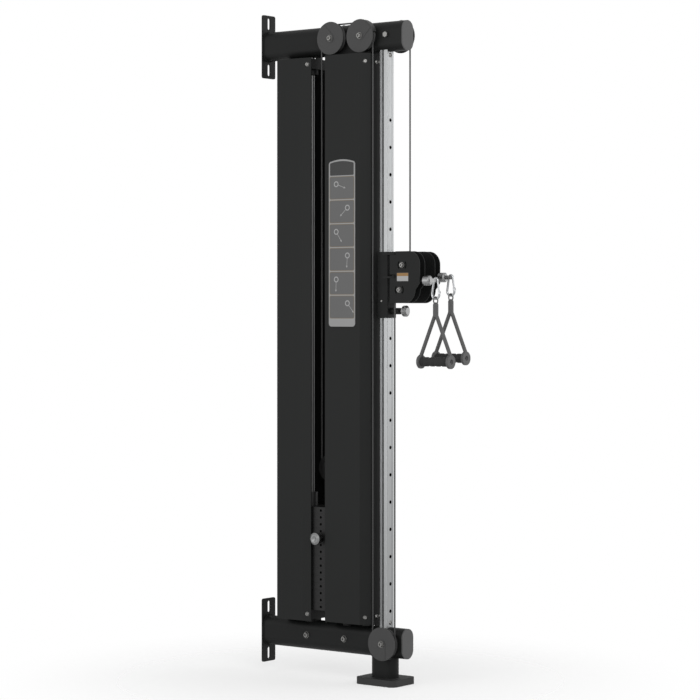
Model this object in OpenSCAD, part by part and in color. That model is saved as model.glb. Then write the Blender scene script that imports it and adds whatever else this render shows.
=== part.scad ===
// Wall-mounted adjustable cable machine with a weight stack, one sliding
// carriage and two swivelling pulley blocks. Millimetres, +Z up, +Y into the wall.
// The origin is on the wall, at the centre of the lower wall plate.

/* [Beams] */
// Height of the lower beam's centre above the floor
low_beam_height = 153; // [140:1:260]
// Distance between the two beams' centres
beam_rise = 2220; // [2100:1:2400]
// Width of the flat-oval beam tube
beam_w = 66; // [60:1:72]
// Height of the flat-oval beam tube
beam_h = 111; // [105:1:118]
// Length of each beam from the wall plate to its end cap
beam_l = 652; // [648:1:690]
// Wall of the beam tube
beam_wall = 4; // [3:0.5:6]
// Thickness of the flange of a beam's end cap
cap_t = 5; // [3:0.5:8]
// Depth of the end cap's plug inside the tube
cap_plug = 15; // [8:1:25]

/* [Wall plates] */
// Width of a wall plate
plate_w = 75; // [72:1:100]
// Height of a wall plate
plate_h = 240; // [234:1:280]
// Thickness of a wall plate
plate_t = 6; // [5:0.5:8]
// Corner radius of a wall plate
plate_r = 8; // [4:1:14]
// Distance between the centres of a wall plate's two slots
slot_rise = 176; // [172:1:186]
// Width of a slot
slot_w = 16; // [10:0.5:18]
// Length of a slot, end to end
slot_l = 45; // [30:1:50]

/* [Foot] */
// Distance of the foot's centre behind the beams' front ends
foot_in = 98; // [83:1:108]
// Width of the flat-oval foot post
post_w = 62; // [50:1:64]
// Depth of the flat-oval foot post
post_d = 108; // [84:1:114]
// Wall of the foot post
post_wall = 4; // [3:0.5:6]
// Width of the rubber foot pad
pad_w = 142; // [120:1:160]
// Depth of the rubber foot pad
pad_d = 180; // [150:1:186]
// Height of the rubber foot pad
pad_h = 25; // [15:1:35]
// Corner radius of the foot pad
pad_r = 24; // [10:1:40]
// Depth of the foot pad's socket for the post
pad_socket = 12; // [6:1:13]
// Gap between the foot post and its socket, over both sides
pad_gap = 0.4; // [0.2:0.1:1]

/* [Column] */
// Distance of the column's front face behind the beams' front ends
column_in = 74; // [71:0.5:76]
// Width of the extruded column
column_w = 40; // [38:0.5:42]
// Depth of the extruded column
column_d = 35; // [32:0.5:36]
// Wall of the extruded column
column_wall = 4; // [3:0.5:6]
// Width of the groove along each side of the column
groove_w = 7; // [4:0.5:9]
// Depth of the groove along each side of the column
groove_depth = 2.5; // [1:0.25:3]
// Distance from the column's back face to the groove's middle
groove_y = 15.5; // [10:0.5:18]
// Width of the shallow lane that the adjustment holes lie in
lane_w = 19; // [14:1:24]
// Depth of the lane of the adjustment holes
lane_depth = 0.8; // [0.4:0.1:1.2]
// Bore of the adjustment holes
hole_d = 12; // [11.8:0.1:13]
// Pitch of the adjustment holes
hole_pitch = 100; // [95:1:104]
// Number of adjustment holes
hole_count = 19; // [17:1:19]
// Height of the first adjustment hole above the lower beam's centre
hole_first = 114; // [112:1:120]
// Length of a column spigot above its beam
spigot_l = 40; // [36:1:60]
// Gap between a column spigot and the column's bore
spigot_gap = 0.3; // [0.1:0.05:1]

/* [Shrouds] */
// Width of the shrouds
shroud_w = 154; // [150:1:166]
// Thickness of the shroud's sheet steel
sheet_t = 2; // [1.5:0.25:3]
// Distance from the rear shroud's back to the middle of the stack
rear_back = 196; // [188:1:210]
// Distance from the bend near the rear shroud's front edge to the middle of the stack
rear_bend = 72; // [66:1:78]
// Distance from the rear shroud's front edge to the middle of the stack
rear_edge = 37; // [34:1:44]
// How far the rear shroud's front edges bend in
edge_in = 5; // [2:0.5:8]
// Distance from the middle of the stack to the front shroud's rear edge
front_edge = 33; // [28:1:38]
// Gap between the front shroud and the column
column_gap = 21; // [19:1:25]
// Depth of the front shroud's bevels
bevel_d = 28; // [24:1:32]
// Width of the front shroud's front face
front_face_w = 94; // [88:1:100]
// Gap between the lower beam and the rear shroud
shroud_low_gap = 4; // [2:0.5:8]
// Gap between the lower beam and the front shroud
front_low_gap = 9; // [4:0.5:12]
// Gap between the front shroud and the upper beam
front_top_gap = 4; // [3:0.5:12]
// Gap between the rear shroud and the upper beam
rear_top_gap = 6; // [4:1:12]

/* [Placard] */
// Width of the placard on the front shroud
placard_w = 122; // [100:1:126]
// Height of the placard
placard_h = 616; // [500:1:640]
// Thickness of the placard
placard_t = 2; // [1:0.25:3]
// Height of the placard's lower edge above the lower beam's centre
placard_z = 1157; // [1000:1:1300]
// Corner radius of the placard
placard_r = 12; // [6:1:20]
// Radius of the placard's arched top edge
arch_r = 270; // [200:5:400]

/* [Weight stack] */
// Distance of the weight stack's middle behind the beams' front ends
stack_in = 353; // [350:0.5:356]
// Width of a weight plate
weight_w = 120; // [112:1:124]
// Length of a weight plate
weight_l = 240; // [232:1:244]
// Pitch of the weight plates
weight_pitch = 25.6; // [25:0.1:26.4]
// Number of plates below the head plate
weight_count = 14; // [12:1:16]
// Number of plates that the selector pin lifts with the head plate
lifted_count = 4; // [2:1:8]
// Gap between two weight plates
weight_gap = 0.4; // [0.3:0.05:0.6]
// Diameter of the selector holes in the plates
select_d = 10; // [9:0.5:12]
// Diameter of the guide rods
rod_d = 21; // [18:0.5:22]
// Distance between the two guide rods
rod_span = 178; // [174:1:182]
// Gap round a guide rod in the weight plates
rod_gap = 1; // [0.6:0.1:1.5]
// Diameter of the rubber bumpers under the stack
bumper_d = 50; // [44:1:56]
// Height of the rubber bumpers under the stack
bumper_h = 46; // [40:1:52]
// Outer diameter of the guide bushings
bushing_d = 44; // [38:1:50]
// Height of the guide bushings above the head plate
bushing_h = 50; // [40:1:60]
// Outer diameter of the collars at the top of the guide rods
collar_d = 50; // [44:1:56]
// Height of the rod collars
collar_h = 27; // [20:1:34]
// Distance from the upper beam down to the rod collars
collar_drop = 36; // [25:1:60]
// Diameter of the selector stem
stem_d = 26; // [22:1:30]
// Diameter of the selector pin
pin_d = 9.5; // [8:0.1:9.8]
// Diameter of the selector pin's knob
knob_d = 44; // [36:1:50]

/* [Pulleys] */
// Diameter of the cable
cable_d = 6; // [4.5:0.25:6.5]
// Pitch radius of the big pulleys
pulley_r = 50; // [48:0.5:52]
// Depth of the cable's centre line below a pulley's rim
rim_over = 6; // [4:0.5:8]
// Width of a big pulley
pulley_w = 18; // [14:1:20]
// Bore of a pulley, which its bearing bush fills
bush_d = 22; // [18:0.5:26]
// Radial running clearance between a pulley and its bush
run_gap = 0.06; // [0.02:0.01:0.1]
// Diameter of the pulley axle bolts
bolt_d = 12; // [10:0.5:14]
// Distance from the machine's middle to the cables' planes
cable_x = 47; // [46:0.5:49]
// Distance from the middle of the stack to the axle that the two rear top pulleys share
rear_pulley_fore = 45; // [42:1:48]
// Distance of the bottom and the far front top pulley behind the beams' front ends
outer_in = 70; // [67:0.5:72]
// Height of the top pulleys above the upper beam's centre
top_pulley_up = 5; // [0:1:10]
// Radius of a pulley cover
cover_r = 61; // [59:0.5:63]
// Thickness of a pulley cover
cover_t = 3; // [2:0.5:4]
// Gap between a pulley and its cover
cover_gap = 3; // [2:0.5:4]
// Width of the raised arm on a pulley cover
cover_arm_w = 34; // [28:1:40]
// How far the arm stands out of its cover
cover_arm_rise = 1; // [0.5:0.1:1.5]
// Angle of a cover's lip over the cable
cover_lip = 64; // [40:1:80]
// Pitch radius of the floating pulley
float_r = 43.5; // [40:0.5:46]
// Height of the floating pulley above the head plate's top
float_up = 143; // [130:1:160]

/* [Carriage] */
// Number of the adjustment hole that the pop pin sits in
carriage_hole = 12; // [9:1:15]
// Height of the carriage sleeve
sleeve_h = 242; // [230:1:260]
// Height of the pop pin above the sleeve's lower end
pin_up = 25; // [22:1:32]
// Wall of the carriage sleeve
sleeve_wall = 4; // [3:0.25:5]
// Thickness of the plastic glide pads
glide_t = 2.2; // [1.5:0.1:3]
// Gap between the glide pads and the column
glide_gap = 0.3; // [0.2:0.05:0.5]
// Height of a glide pad
glide_h = 60; // [40:1:70]
// Outer diameter of the pop pin's barrel
barrel_d = 24; // [22:0.5:28]
// Length of the pop pin's barrel in front of the sleeve
barrel_l = 38; // [30:1:44]
// Diameter of the pop pin's tip
pop_d = 11.6; // [10.5:0.1:11.7]
// Diameter of the pop pin's shaft behind the tip
pop_shaft_d = 9; // [7:0.5:9.5]
// Travel of the pop pin from drawn back to seated in the column
pop_travel = 12; // [9:0.5:14]
// Diameter of the pop pin's knob
pop_knob_d = 41; // [34:1:46]

/* [Swivel blocks] */
// Width of a swivel block over its side plates
block_w = 34; // [32:0.5:38]
// Thickness of a block's side plates
block_t = 3; // [2:0.25:4]
// Pitch radius of the upper sheave
upper_r = 45; // [42:0.5:46]
// Pitch radius of the lower sheave
lower_r = 33; // [30:0.5:35]
// Depth of the cable's centre line below a sheave's rim
sheave_over = 3; // [2.5:0.25:3.5]
// Width of a sheave
sheave_w = 14; // [12:0.5:16]
// Bore of a sheave, which its bearing bush fills
sheave_bush_d = 18; // [16:0.5:20]
// Height of the upper sheave above the pop pin
upper_up = 167; // [165:0.5:170]
// Height of the lower sheave above the pop pin
lower_up = 77; // [74:0.5:80]
// Height of the block's lower end above the pop pin
block_low = 29; // [26:0.5:32]
// Distance from the swivel axis to the block's front
block_front = 124; // [118:1:130]
// Width of an arm that carries a block
ear_w = 22; // [20:0.5:23]
// Thickness of an arm that carries a block
ear_t = 7; // [5:0.5:8]
// Outer diameter of a block's hollow pivot tube
pivot_d = 14; // [13:0.5:15]
// Bore of a block's hollow pivot tube
pivot_bore = 8; // [7:0.5:9]
// Diameter of a block's bolts
block_bolt_d = 10; // [8:0.5:12]
// Outer radius of the curved windows round a block's bolts
window_r = 20; // [17:0.5:22]
// Width of the curved windows round a block's bolts
window_w = 4; // [3:0.5:6]
// Radius of the round upper front corner of a block
corner_r = 48; // [40:1:52]
// Radius of the round lower front corner of a block
lobe_r = 48; // [40:1:56]

/* [Cable ends and handles] */
// Diameter of the stop on a cable's end
stop_d = 35; // [30:1:40]
// Length of the stop
stop_l = 30; // [24:1:36]
// Distance from the middle of a clevis to its cheeks
clevis_x = 6; // [5:0.5:8]
// Wire diameter of a snap hook
hook_wire = 8; // [6:0.5:9]
// Width of a snap hook at its wide end
hook_w = 40; // [34:1:46]
// Distance between the two end bends' centres of a snap hook
hook_l = 50; // [44:1:58]
// Wire diameter of a handle's ring
ring_wire = 5; // [4:0.5:6]
// Radius of a handle's ring to the wire's middle
ring_r = 13; // [12:0.5:15]
// Length of a handle's neck
neck_l = 54; // [44:1:64]
// Width of a handle's neck
neck_w = 20; // [16:1:24]
// Drop from a handle's neck to its grip axis
leg_drop = 160; // [140:1:180]
// Diameter of a handle's legs
leg_d = 14; // [11:0.5:16]
// Distance between the middles of a handle's end discs
grip_span = 130; // [115:1:140]
// Diameter of a handle's end discs
disc_d = 50; // [44:1:56]
// Thickness of a handle's end discs
disc_t = 10; // [8:0.5:14]
// Diameter of the sunk hole in a handle's end discs
disc_hole_d = 17; // [15:0.5:22]
// Diameter of the grip
grip_d = 34; // [28:1:38]
// Diameter of the bar that the grip turns on
bar_d = 14; // [10:0.5:18]

/* [Hidden] */
$fn = 48;
e = 0.01;
weld_gap = 0.05;
dark = "#2d2f2e";
shroud_dark = "#2f3130";
cover_grey = "#4c4d4d";
cap_grey = "#616161";
rubber = "#3a3a3a";
chrome = "#c9cbcc";
steel = "#b9bbbc";
aluminium = "#aeb1b3";
handle_grey = "#585858";
cable_black = "#3c3d3d";

// The groove of a wheel, a little wider than the cable
groove_r = cable_d / 2 + 0.3;
// Heights
floor_z = -low_beam_height;
low_top = beam_h / 2;
up_bottom = beam_rise - beam_h / 2;
// Beams, foot, column and the middle of the stack
beam_end = beam_l + plate_t;
foot_y = beam_end - foot_in;
stack_y = beam_end - stack_in;
column_front = beam_end - column_in;
column_back = column_front - column_d;
column_mid = (column_front + column_back) / 2;
pop_z = hole_first + (carriage_hole - 1) * hole_pitch;
sleeve_z = pop_z - pin_up;
sleeve_in = glide_t + glide_gap;
sleeve_front = column_front + sleeve_in + sleeve_wall;
// Pop pin
tip_gap = 0.6;
barrel_end = sleeve_front + barrel_l;
barrel_floor = 4;
cavity_d = barrel_d - 10;
shoulder_y = column_front + barrel_floor + pop_travel + 0.3;
shoulder_t = 4;
knob_out = 18;
// Stack
rod_ys = [stack_y - rod_span / 2, stack_y + rod_span / 2];
stack_z = low_top + bumper_h;
head_z = stack_z + weight_count * weight_pitch;
head_top = head_z + weight_pitch - weight_gap;
lifted_z = head_z - lifted_count * weight_pitch;
pin_z = lifted_z + (weight_pitch - weight_gap) / 2;
float_z = head_top + float_up;
stem_top = head_top + 30;
// Shrouds
rear_shroud_y = stack_y - rear_back;
rear_bend_y = stack_y - rear_bend;
rear_edge_y = stack_y - rear_edge;
front_edge_y = stack_y + front_edge;
front_face_y = column_back - column_gap;
bevel_y = front_face_y - bevel_d;
// Pulleys
outer_y = beam_end - outer_in;
near_front_y = outer_y - 2 * pulley_r;
rear_pulley_y = stack_y + rear_pulley_fore;
rim_r = pulley_r + rim_over;
top_z = beam_rise + top_pulley_up;
swivel_y = outer_y + pulley_r;
cover_x = cable_x + pulley_w / 2 + cover_gap;
cover_face = cover_x + cover_t + cover_arm_rise;
yoke_x = pulley_w / 2 + 1.5;
yoke_t = 4;
// Blocks
upper_z = pop_z + upper_up;
lower_z = pop_z + lower_up;
upper_y = swivel_y + upper_r;
lower_y = swivel_y + lower_r;
block_z = pop_z + block_low;
block_top = sleeve_z + sleeve_h;
near_exit = lower_z + lower_r;
far_exit = upper_z - upper_r;
top_ear_z = block_top - ear_t - 5;
mid_ear_z = near_exit + sheave_over + 7;
ear_gap = 0.5;
web_t = 5;
ear_notch = 16;
ear_room = 7;
block_back = 10;
block_nose = 20;
corner_low = 8;
web_w = 16;
pivot_head_t = 3.5;
pivot_head_d = pivot_d + 6;
block_in = block_w / 2 - block_t;
// Cable stops, hooks and handles
stop_bevel = 4;
clevis_t = 3;
clevis_out = clevis_x + clevis_t;
clevis_r = 7;
clevis_root = 6;
pin_over = 1.5;
cable_socket = 12;
cable_gap = 0.4;
gate_gap = 0.5;
gate_pin_d = 3.1;
gate_wire = hook_wire - 1.5;
cheek_t = 1.4;
ring_bite = 7;
leg_root = 4;
bar_wall = 3;
recess = 5;
// Screws, and the cross plates that carry the shrouds
screw_d = 8;
head_d = 17;
screw_gap = 0.4;
rear_rows = [low_top + 30, up_bottom - 31];
front_rows = [low_top + 36, up_bottom - 34];
screw_in = 12;
screw_apart = 20;
tab_w = 8;
bracket_t = 4;
bracket_h = 38;
neck_plate_w = 30;
rear_plate_y = stack_y - rod_span / 2 + collar_d / 2 + 3;
rear_tab_y = rear_plate_y + bracket_t + 12;
rear_plate_w = shroud_w - 2 * sheet_t - 2 * edge_in;
mid_plate_y = front_edge_y + 2;
front_plate_y = front_face_y - sheet_t - bracket_t - 0.1;
side_plate_x = beam_w / 2 - bracket_t;
// Screws as [place on the sheet's outer face, turn about Z from facing the front]
rear_turn = 90 - atan2(edge_in, rear_edge_y + sheet_t - rear_bend_y);
bevel_turn = atan2(front_face_y - bevel_y, (shroud_w - front_face_w) / 2);
rear_screws = [for (z = rear_rows, s = [-1, 1]) [
    [s * (shroud_w - edge_in) / 2, -(rear_bend_y + rear_edge_y + sheet_t) / 2, z], s * rear_turn
]];
mid_screws = [for (z = rear_rows, s = [-1, 1]) [[s * (shroud_w / 2 - screw_in), -mid_plate_y, z], 180]];
front_screws = [for (z = front_rows, s = [-1, 1]) [[s * screw_apart / 2, -front_face_y, z], 0]];
bevel_screws = [for (z = front_rows, s = [-1, 1]) [
    [s * (shroud_w + front_face_w) / 4, -(bevel_y + front_face_y) / 2, z], s * bevel_turn
]];
column_screw_z = [low_top + 16, up_bottom - 12];
// Cable ends
stop_y = swivel_y + block_front + 7;
eye_y = stop_y + stop_l + 22;
hook_top_r = 8;
hook_low_r = (hook_w - hook_wire) / 2;

module at_y(y) translate([0, -y, 0]) children();

// A flat oval in X and Z: straight sides, round top and bottom
module oval(w, h) {
    square([w, h - w], center = true);
    for (s = [-1, 1]) translate([0, s * (h - w) / 2]) circle(d = w);
}

// A rounded rectangle centred on the origin
module round_rect(w, h, r) {
    square([w, h - 2 * r], center = true);
    square([w - 2 * r, h], center = true);
    for (x = [-1, 1], y = [-1, 1]) translate([x * (w / 2 - r), y * (h / 2 - r)]) circle(r);
}

// A bar along -Y whose outline is drawn in X and Z, from distance a to distance b
module along_y(a, b) translate([0, -a, 0]) rotate([90, 0, 0]) linear_extrude(b - a) children();

// A bar along X, from x = a to x = b, whose outline is drawn in -Y and Z
module along_x(a, b) translate([b, 0, 0]) rotate([90, 0, -90]) linear_extrude(b - a) children();

module rod_x(a, b, d) translate([a, 0, 0]) rotate([0, 90, 0]) cylinder(h = b - a, d = d);
module rod_y(a, b, d) translate([0, -a, 0]) rotate([90, 0, 0]) cylinder(h = b - a, d = d);

// A round bar between two points
module bar(a, b, d) {
    v = b - a;
    translate(a)
        rotate([0, acos(v[2] / norm(v)), atan2(v[1], v[0])])
            cylinder(h = norm(v), d = d);
}

// A bolt along +X: hexagon head at the -X end, shank, washer and nut at the other end
module bolt_x(a, b, d) {
    rod_x(a, b, d);
    rod_x(a - 1.6, a, d * 2);
    translate([a - 1.6 - d * 0.6, 0, 0]) rotate([0, 90, 0]) difference() {
        cylinder(h = d * 0.6, d1 = d * 1.35, d2 = d * 1.8);
        translate([0, 0, -e]) cylinder(h = d * 0.35, d = d * 0.85, $fn = 6);
    }
    translate([b, 0, 0]) rotate([0, 90, 0]) cylinder(h = d * 0.7, d = d * 1.75, $fn = 6);
}

// A cable bent round a sheave on the X axis: from angle a, where 0 is forward and 90 is up
module wrap(r, a, s)
    rotate([90, 0, -90]) rotate([0, 0, a])
        rotate_extrude(angle = s, $fn = 64) translate([r, 0]) circle(d = cable_d, $fn = 24);

// A grooved wheel on the X axis, with a bore that a bush fills
module sheave(r, over, w, bore) {
    rotate([0, 90, 0]) difference() {
        rotate_extrude($fn = 64) difference() {
            translate([bore / 2 + run_gap, -w / 2]) square([r + over - bore / 2 - run_gap, w]);
            translate([r, 0]) circle(r = groove_r, $fn = 32);
            polygon([
                [r, -groove_r], [r + over + e, -w / 2 + 2], [r + over + e, w / 2 - 2], [r, groove_r]
            ]);
            for (s = [-1, 1]) translate([(bore / 2 + r) / 2 + 1, s * w / 2])
                square([r - bore / 2 - 16, 5], center = true);
        }
    }
}

// Frame

module wall_plates() color(dark) for (z = [0, beam_rise]) translate([0, 0, z])
    along_y(0, plate_t) difference() {
        round_rect(plate_w, plate_h, plate_r);
        for (s = [-1, 1]) translate([0, s * slot_rise / 2]) oval(slot_w, slot_l);
    }

// The hollow flat-oval tube that both beams share
module beam_tube() along_y(plate_t, beam_end) difference() {
    oval(beam_w, beam_h);
    oval(beam_w - 2 * beam_wall, beam_h - 2 * beam_wall);
}

module lower_beam() color(dark) difference() {
    beam_tube();
    for (y = rod_ys) translate([0, -y, 0]) {
        cylinder(h = low_top + e, d = rod_d + 0.4);
        rod_x(-beam_w, beam_w, bolt_d + 0.4);
    }
    at_y(outer_y) rod_x(-beam_w, beam_w, bolt_d + 0.4);
}

module upper_beam() color(dark) translate([0, 0, beam_rise]) difference() {
    beam_tube();
    for (y = rod_ys) translate([0, -y, -low_top - e]) cylinder(h = low_top, d = rod_d + 0.4);
    for (y = [rear_pulley_y, near_front_y, outer_y])
        translate([0, -y, top_pulley_up]) rod_x(-beam_w, beam_w, bolt_d + 0.4);
}

module beam_end_caps() color(cap_grey) for (z = [0, beam_rise]) translate([0, 0, z]) {
    end = beam_end;
    along_y(end, end + cap_t) oval(beam_w, beam_h);
    along_y(end - cap_plug, end + e)
        oval(beam_w - 2 * beam_wall - 0.6, beam_h - 2 * beam_wall - 0.6);
}

module foot_post() color(dark) difference() {
    z = floor_z + pad_h - pad_socket;
    translate([0, -foot_y, z]) linear_extrude(-low_top - z + beam_w / 2) difference() {
        oval(post_w, post_d);
        oval(post_w - 2 * post_wall, post_d - 2 * post_wall);
    }
    along_y(0, beam_end + e) oval(beam_w, beam_h);
}

module foot_pad() color(rubber) translate([0, -foot_y, floor_z]) difference() {
    linear_extrude(pad_h) round_rect(pad_w, pad_d, pad_r);
    translate([0, 0, pad_h - pad_socket]) linear_extrude(pad_socket + e) difference() {
        oval(post_w + pad_gap, post_d + pad_gap);
        oval(post_w - 2 * post_wall - pad_gap, post_d - 2 * post_wall - pad_gap);
    }
}

module column() color(aluminium) difference() {
    translate([0, -column_mid, low_top - 8]) linear_extrude(up_bottom - low_top + 16) difference() {
        round_rect(column_w, column_d, 2);
        square([column_w - 2 * column_wall, column_d - 2 * column_wall], center = true);
        for (s = [-1, 1]) translate([s * column_w / 2, column_d / 2 - groove_y])
            square([groove_depth * 2, groove_w], center = true);
        translate([0, -column_d / 2]) square([lane_w, lane_depth * 2], center = true);
    }
    for (z = [0, beam_rise]) translate([0, 0, z]) along_y(0, beam_l) oval(beam_w, beam_h);
    for (i = [0:hole_count - 1])
        translate([0, 0, hole_first + i * hole_pitch]) rod_y(column_mid, column_front + 1, hole_d);
    for (z = column_screw_z) translate([0, 0, z]) rod_y(column_mid, column_front + 1, screw_d + screw_gap);
}

// Solid spigots on the beams, which the column slides over
module column_spigots() color(steel) difference() {
    w = column_w - 2 * column_wall - 2 * spigot_gap;
    d = column_d - 2 * column_wall - 2 * spigot_gap;
    for (z = [low_top - 7, up_bottom + 7 - spigot_l - 7])
        translate([-w / 2, -column_mid - d / 2, z]) cube([w, d, spigot_l + 7]);
    for (z = [0, beam_rise]) translate([0, 0, z]) along_y(0, beam_l) oval(beam_w, beam_h);
    for (z = column_screw_z) translate([0, 0, z]) rod_y(column_back, column_front, screw_d + 0.1);
}

// Shrouds

// The rear shroud's section seen from above, with its front edges bent in a little
module rear_outline(t) {
    w = shroud_w / 2 - t;
    polygon([
        [-w, -rear_shroud_y - t], [w, -rear_shroud_y - t], [w, -rear_bend_y],
        [w - edge_in, -rear_edge_y - t], [-w + edge_in, -rear_edge_y - t], [-w, -rear_bend_y]
    ]);
}

module rear_shroud() color(shroud_dark) difference() {
    z = low_top + shroud_low_gap;
    translate([0, 0, z]) linear_extrude(up_bottom - rear_top_gap - z) difference() {
        intersection() {
            rear_outline(0);
            translate([-shroud_w, -rear_edge_y]) square([shroud_w * 2, rear_edge_y]);
        }
        rear_outline(sheet_t);
    }
    at_screws(rear_screws) rod_y(-6, 6, screw_d + screw_gap);
}

// The front shroud's section seen from above: two sides, two bevels and the front face
module front_outline(t) {
    w = shroud_w / 2 - t;
    f = front_face_w / 2 - t * 0.6;
    polygon([
        [-w, -front_edge_y], [-w, -bevel_y + t * 0.4], [-f, -front_face_y + t],
        [f, -front_face_y + t], [w, -bevel_y + t * 0.4], [w, -front_edge_y]
    ]);
}

module front_shroud() color(shroud_dark) difference() {
    z = low_top + front_low_gap;
    translate([0, 0, z]) linear_extrude(up_bottom - front_top_gap - z) difference() {
        front_outline(0);
        front_outline(sheet_t);
        translate([-shroud_w / 2 + sheet_t, -front_edge_y - 1]) square([shroud_w - 2 * sheet_t, 2]);
    }
    at_screws(concat(front_screws, bevel_screws)) rod_y(-6, 6, screw_d + screw_gap);
}

// Cross plates that stand on the beams inside the shrouds, and carry their screws
module shroud_brackets() color(dark) for (up = [0, 1]) {
    z = up ? up_bottom - front_top_gap - bracket_h - 2 : low_top + shroud_low_gap + 1;
    far = up ? up_bottom + beam_w / 2 : low_top - beam_w / 2;
    difference() {
        union() {
            cross_plate(rear_plate_y, rear_plate_w, z, far);
            for (s = [-1, 1])
                translate([s * (rear_plate_w - tab_w) / 2 - tab_w / 2, -rear_tab_y, z])
                    cube([tab_w, rear_tab_y - rear_plate_y - bracket_t + e, bracket_h]);
            cross_plate(mid_plate_y, shroud_w - 2 * sheet_t - 0.2, z, far);
            cross_plate(front_plate_y, front_face_w / 2, z, far);
            translate([0, 0, z]) linear_extrude(bracket_h) difference() {
                front_outline(sheet_t + 0.1);
                front_outline(sheet_t + 0.1 + bracket_t);
                translate([-shroud_w, -bevel_y - screw_in / 2]) square(2 * shroud_w);
            }
            if (up) for (s = [-1, 1]) translate([s * side_plate_x - bracket_t / 2, -bevel_y + 6, z])
                cube([bracket_t, bevel_y - mid_plate_y - bracket_t - 6 + e, far - z]);
        }
        translate([0, 0, up ? beam_rise : 0]) along_y(0, beam_l) oval(beam_w, beam_h);
        at_screws(concat(rear_screws, mid_screws, front_screws, bevel_screws)) rod_y(-20, 6, screw_d + 0.1);
    }
}

// A plate across a shroud with a neck that reaches the beam
module cross_plate(y, w, z, far) {
    translate([-w / 2, -y - bracket_t, z]) cube([w, bracket_t, bracket_h]);
    translate([-neck_plate_w / 2, -y - bracket_t, min(z, far)]) cube([neck_plate_w, bracket_t, abs(far - z)]);
}

module at_screws(list) for (p = list) translate(p[0]) rotate([0, 0, p[1]]) children();

// A button-head screw along +Y, head at the front
module button_screw(l) {
    rotate([-90, 0, 0]) cylinder(h = l, d = screw_d);
    rotate([90, 0, 0]) difference() {
        cylinder(h = head_d / 4, d1 = head_d, d2 = head_d * 0.65);
        translate([0, 0, head_d / 8]) cylinder(h = head_d / 4, d = head_d * 0.36, $fn = 6);
    }
}

module frame_screws() color(steel) {
    at_screws(rear_screws) button_screw(12);
    at_screws(concat(mid_screws, front_screws, bevel_screws)) button_screw(8);
    for (z = column_screw_z) translate([0, -column_front + lane_depth, z]) button_screw(14);
    for (y = rod_ys) at_y(y) bolt_x(-beam_w / 2 - e, beam_w / 2 + e, bolt_d);
}

module placard() color("#8c8c8a")
    translate([-shroud_w / 2 - placard_t, 0, 0])
        along_x(0, placard_t) translate([(bevel_y + front_edge_y) / 2, placard_z + placard_h / 2])
            placard_outline();

// The placard's outline: rounded corners, and a top edge that arches a little
module placard_outline() intersection() {
    round_rect(placard_w, placard_h, placard_r);
    union() {
        translate([0, placard_h / 2 - arch_r]) circle(arch_r, $fn = 360);
        translate([-placard_w, -placard_h]) square([2 * placard_w, 1.5 * placard_h - arch_r]);
    }
}

// Weight stack

module guide_rods() color(chrome) for (y = rod_ys) difference() {
    translate([0, -y, -beam_h / 4]) cylinder(h = beam_rise + beam_h / 4 - 20, d = rod_d);
    at_y(y) rod_x(-rod_d, rod_d, bolt_d + 0.4);
}

module rod_collars() color(dark) for (y = rod_ys)
    translate([0, -y, up_bottom - collar_drop - collar_h]) ring(collar_d, rod_d + 0.1, collar_h);

module stack_bumpers() color(rubber) for (y = rod_ys) difference() {
    translate([0, -y, low_top - 7]) ring(bumper_d, rod_d + 0.6, bumper_h + 7 - weight_gap);
    along_y(0, beam_l) oval(beam_w, beam_h);
}

module ring(outer, bore, h) difference() {
    cylinder(h = h, d = outer);
    translate([0, 0, -1]) cylinder(h = h + 2, d = bore);
}

// One plate of the stack, with its centre bore, its guide holes and its selector hole
module weight_plate() difference() {
    linear_extrude(weight_pitch - weight_gap) translate([0, -stack_y])
        round_rect(weight_w, weight_l, 5);
    translate([0, -stack_y, -1]) cylinder(h = weight_pitch + 2, d = stem_d + 2);
    for (y = rod_ys) translate([0, -y, -1]) cylinder(h = weight_pitch + 2, d = rod_d + 2 * rod_gap);
    translate([0, -stack_y, (weight_pitch - weight_gap) / 2]) rod_x(-weight_w, 0, select_d);
}

module resting_plates() color(dark) for (i = [0:weight_count - lifted_count - 1])
    translate([0, 0, stack_z + i * weight_pitch]) weight_plate();

module lifted_plates() color(dark) for (i = [0:lifted_count - 1])
    translate([0, 0, lifted_z + i * weight_pitch]) weight_plate();

module head_plate() color(dark) difference() {
    translate([0, 0, head_z]) linear_extrude(weight_pitch - weight_gap) translate([0, -stack_y])
        round_rect(weight_w, weight_l, 5);
    translate([0, -stack_y, head_z - 1]) cylinder(h = weight_pitch + 2, d = stem_d + 2 * weld_gap);
    for (y = rod_ys) translate([0, -y, head_z - 1]) cylinder(h = weight_pitch + 2, d = bushing_in);
    translate([0, -stack_y, head_z + (weight_pitch - weight_gap) / 2])
        rod_x(-weight_w, -stem_d / 2 - 1, select_d);
}
bushing_in = rod_d + 8;

// Plastic bushings that guide the head plate on the rods
module guide_bushings() color(rubber) for (y = rod_ys) translate([0, -y, 0]) difference() {
    union() {
        translate([0, 0, head_z + 2]) cylinder(h = weight_pitch, d = bushing_in - 2 * weld_gap);
        translate([0, 0, head_top + weld_gap]) cylinder(h = bushing_h, d = bushing_d);
    }
    translate([0, 0, head_z]) cylinder(h = bushing_h + 2 * weight_pitch, d = rod_d + 0.15);
}

// The stem that hangs from the head plate through the stack, drilled for the pin
module selector_stem() color(steel) difference() {
    translate([0, -stack_y, stack_z + 4]) cylinder(h = stem_top - stack_z - 4, d = stem_d);
    for (i = [0:weight_count - 1])
        translate([0, -stack_y, stack_z + i * weight_pitch + (weight_pitch - weight_gap) / 2])
            rod_x(-stem_d, stem_d, select_d);
}

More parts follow.
